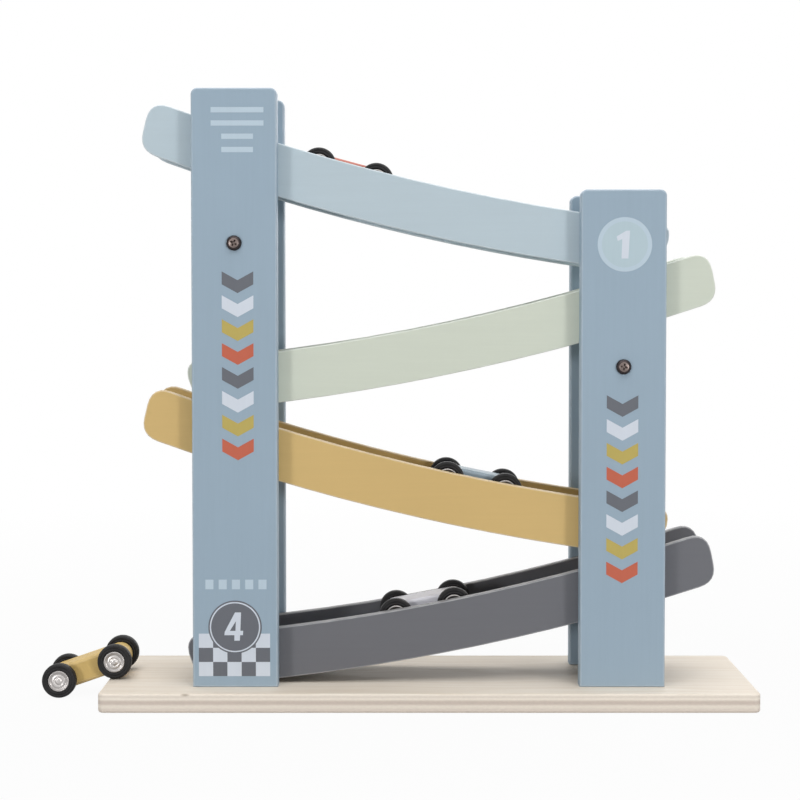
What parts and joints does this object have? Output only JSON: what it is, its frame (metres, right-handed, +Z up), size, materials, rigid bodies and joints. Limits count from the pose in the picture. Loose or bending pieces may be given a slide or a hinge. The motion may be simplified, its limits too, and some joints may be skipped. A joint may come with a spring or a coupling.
{
  "type": "wooden ramp racer toy",
  "caption": "Wooden ramp racer: curved channel tracks zigzag down between painted post pairs on a plywood base, with small wheeled bar cars that roll down them.",
  "frame": {"origin": "middle of the base board underside, on the table", "axes": "+X to the right along the board seen from the front, +Y to the back, +Z up"},
  "size_m": [0.414, 0.095, 0.3535],
  "materials": {
    "base_plywood": "clear varnish",
    "post_paint": "satin paint",
    "track_1_paint": "satin paint",
    "track_2_paint": "satin paint",
    "track_3_paint": "satin paint",
    "track_4_paint": "satin paint",
    "rod_wood": "bare",
    "post_screw_steel": "dark bronzed",
    "base_screw_steel": "zinc plated",
    "red_car_paint": "satin paint",
    "blue_car_paint": "satin paint",
    "grey_car_paint": "satin paint",
    "mustard_car_paint": "satin paint",
    "hub_silver": "satin, turned",
    "tyre_rubber": "matte"
  },
  "bodies": {
    "track_frame": {"base_board": "base_plywood", "base_screw_back_left": "base_screw_steel", "base_screw_back_right": "base_screw_steel", "base_screw_front_left": "base_screw_steel", "base_screw_front_right": "base_screw_steel", "cross_rod_left": "rod_wood", "cross_rod_right": "rod_wood", "post_back_left": "post_paint", "post_back_right": "post_paint", "post_front_left": "post_paint", "post_front_right": "post_paint", "post_screw_back_left": "post_screw_steel", "post_screw_back_right": "post_screw_steel", "post_screw_front_left": "post_screw_steel", "post_screw_front_right": "post_screw_steel", "track_1_back_panel": "track_1_paint", "track_1_end_stop": "track_1_paint", "track_1_floor": "track_1_paint", "track_1_front_panel": "track_1_paint", "track_2_back_panel": "track_2_paint", "track_2_end_stop": "track_2_paint", "track_2_floor": "track_2_paint", "track_2_front_panel": "track_2_paint", "track_3_back_panel": "track_3_paint", "track_3_end_stop": "track_3_paint", "track_3_floor": "track_3_paint", "track_3_front_panel": "track_3_paint", "track_4_back_panel": "track_4_paint", "track_4_floor": "track_4_paint", "track_4_front_panel": "track_4_paint"},
    "red_car": {"red_car_body": "red_car_paint"},
    "red_front_wheelset": {"red_car_front_axle": "hub_silver", "red_car_front_left_tyre": "tyre_rubber", "red_car_front_right_tyre": "tyre_rubber"},
    "red_rear_wheelset": {"red_car_rear_axle": "hub_silver", "red_car_rear_left_tyre": "tyre_rubber", "red_car_rear_right_tyre": "tyre_rubber"},
    "blue_car": {"blue_car_body": "blue_car_paint"},
    "blue_front_wheelset": {"blue_car_front_axle": "hub_silver", "blue_car_front_left_tyre": "tyre_rubber", "blue_car_front_right_tyre": "tyre_rubber"},
    "blue_rear_wheelset": {"blue_car_rear_axle": "hub_silver", "blue_car_rear_left_tyre": "tyre_rubber", "blue_car_rear_right_tyre": "tyre_rubber"},
    "grey_car": {"grey_car_body": "grey_car_paint"},
    "grey_front_wheelset": {"grey_car_front_axle": "hub_silver", "grey_car_front_left_tyre": "tyre_rubber", "grey_car_front_right_tyre": "tyre_rubber"},
    "grey_rear_wheelset": {"grey_car_rear_axle": "hub_silver", "grey_car_rear_left_tyre": "tyre_rubber", "grey_car_rear_right_tyre": "tyre_rubber"},
    "mustard_car": {"mustard_car_body": "mustard_car_paint"},
    "mustard_front_wheelset": {"mustard_car_front_axle": "hub_silver", "mustard_car_front_left_tyre": "tyre_rubber", "mustard_car_front_right_tyre": "tyre_rubber"},
    "mustard_rear_wheelset": {"mustard_car_rear_axle": "hub_silver", "mustard_car_rear_left_tyre": "tyre_rubber", "mustard_car_rear_right_tyre": "tyre_rubber"}
  },
  "joints": [
    {"name": "red_car_roll", "type": "hinge", "parent": "track_frame", "child": "red_car", "pos_m": [0.2749, 0, 1.5073], "axis": [0, -1, 0], "range_deg": [-3.97, 5.58]},
    {"name": "red_front_wheels_spin", "type": "hinge", "parent": "red_car", "child": "red_front_wheelset", "pos_m": [-0.03033, 0, 0.30267], "axis": [0, -1, 0], "continuous": true},
    {"name": "red_rear_wheels_spin", "type": "hinge", "parent": "red_car", "child": "red_rear_wheelset", "pos_m": [-0.06365, 0, 0.3116], "axis": [0, -1, 0], "continuous": true},
    {"name": "blue_car_roll", "type": "hinge", "parent": "track_frame", "child": "blue_car", "pos_m": [0.2749, 0, 1.3432], "axis": [0, -1, 0], "range_deg": [-7.52, 2.03]},
    {"name": "blue_front_wheels_spin", "type": "hinge", "parent": "blue_car", "child": "blue_front_wheelset", "pos_m": [0.04485, 0, 0.12198], "axis": [0, -1, 0], "continuous": true},
    {"name": "blue_rear_wheels_spin", "type": "hinge", "parent": "blue_car", "child": "blue_rear_wheelset", "pos_m": [0.01104, 0, 0.12883], "axis": [0, -1, 0], "continuous": true},
    {"name": "grey_car_roll", "type": "hinge", "parent": "track_frame", "child": "grey_car", "pos_m": [-0.2327, 0, 1.27268], "axis": [0, 1, 0], "range_deg": [-6.27, 5.3]},
    {"name": "grey_front_wheels_spin", "type": "hinge", "parent": "grey_car", "child": "grey_front_wheelset", "pos_m": [-0.01876, 0, 0.04853], "axis": [0, 1, 0], "continuous": true},
    {"name": "grey_rear_wheels_spin", "type": "hinge", "parent": "grey_car", "child": "grey_rear_wheelset", "pos_m": [0.01513, 0, 0.05494], "axis": [0, 1, 0], "continuous": true},
    {"name": "mustard_car_lift", "type": "slide", "parent": "track_frame", "child": "mustard_car", "axis": [0, 0, 1], "range_m": [0, 0.12]},
    {"name": "mustard_front_wheels_spin", "type": "hinge", "parent": "mustard_car", "child": "mustard_front_wheelset", "pos_m": [-0.2165, 0, 0.01], "axis": [0, 1, 0], "continuous": true},
    {"name": "mustard_rear_wheels_spin", "type": "hinge", "parent": "mustard_car", "child": "mustard_rear_wheelset", "pos_m": [-0.1839, 0, 0.0213], "axis": [0, 1, 0], "continuous": true}
  ],
  "couplings": [
    {"joint": "red_front_wheels_spin", "follows": "red_car_roll", "ratio": -125.3},
    {"joint": "red_rear_wheels_spin", "follows": "red_car_roll", "ratio": -125.3},
    {"joint": "blue_front_wheels_spin", "follows": "blue_car_roll", "ratio": -125.3},
    {"joint": "blue_rear_wheels_spin", "follows": "blue_car_roll", "ratio": -125.3},
    {"joint": "grey_front_wheels_spin", "follows": "grey_car_roll", "ratio": -125.3},
    {"joint": "grey_rear_wheels_spin", "follows": "grey_car_roll", "ratio": -125.3}
  ]
}
